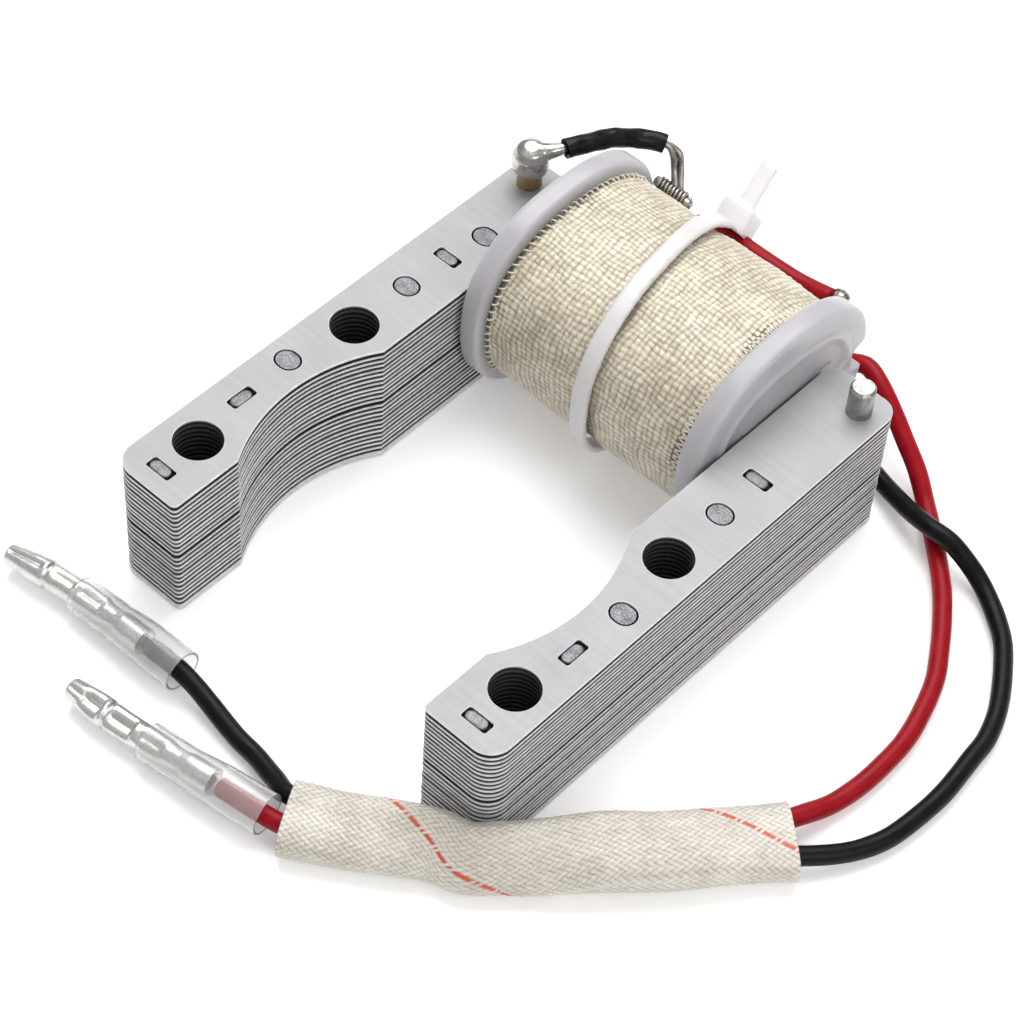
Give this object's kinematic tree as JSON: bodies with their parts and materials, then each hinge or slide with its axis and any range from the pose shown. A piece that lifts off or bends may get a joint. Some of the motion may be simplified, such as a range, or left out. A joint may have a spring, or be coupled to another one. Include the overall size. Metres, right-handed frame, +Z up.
{
  "type": "ignition coil",
  "caption": "Flywheel ignition coil: U-shaped laminated core with a taped winding on its crossbar, and two leads with bullet contacts.",
  "frame": {"origin": "centre of the bottom of the coil without its leads, on the surface that the legs lie on", "axes": "+X from the left leg to the right leg, +Y from the pole faces to the winding, +Z up, out of the sheets"},
  "size_m": [0.1018, 0.1095, 0.0288],
  "materials": {
    "steel_sheet": "punched sheet steel, matte",
    "rivet_steel": "bright steel",
    "brass": "turned, dull tinned",
    "solder": "smooth solder",
    "tinned_metal": "tinned",
    "nylon": "translucent natural nylon",
    "enamelled_copper": "copper wire under enamel",
    "glass_cloth": "woven glass tape",
    "black_plastic": "satin insulation",
    "red_plastic": "satin insulation",
    "glass_braid": "braided glass sleeve",
    "vinyl": "clear soft vinyl"
  },
  "bodies": {
    "root": {"black_lead": "black_plastic", "black_lead_bared_end": "tinned_metal", "black_lead_bullet_contact": "tinned_metal", "black_lead_vinyl_sleeve": "vinyl", "bobbin": "nylon", "braided_sleeve": "glass_braid", "cable_tie": "nylon", "crossbar_laminations": "steel_sheet", "earth_terminal_joint": "solder", "earth_wire": "tinned_metal", "earth_wire_sleeving": "black_plastic", "enamelled_winding": "enamelled_copper", "glass_cloth_tape": "glass_cloth", "left_leg_front_rivet": "rivet_steel", "left_leg_lower_pack": "steel_sheet", "left_leg_middle_rivet": "rivet_steel", "left_leg_rear_rivet": "rivet_steel", "left_leg_top_sheet": "steel_sheet", "left_leg_upper_pack": "steel_sheet", "left_post_solder": "solder", "left_solder_post": "brass", "red_lead": "red_plastic", "red_lead_bared_end": "tinned_metal", "red_lead_bullet_contact": "tinned_metal", "red_lead_joint": "solder", "red_lead_vinyl_sleeve": "vinyl", "right_leg_front_rivet": "rivet_steel", "right_leg_lower_pack": "steel_sheet", "right_leg_middle_rivet": "rivet_steel", "right_leg_top_sheet": "steel_sheet", "right_leg_upper_pack": "steel_sheet", "right_solder_post": "brass"}
  },
  "joints": []
}
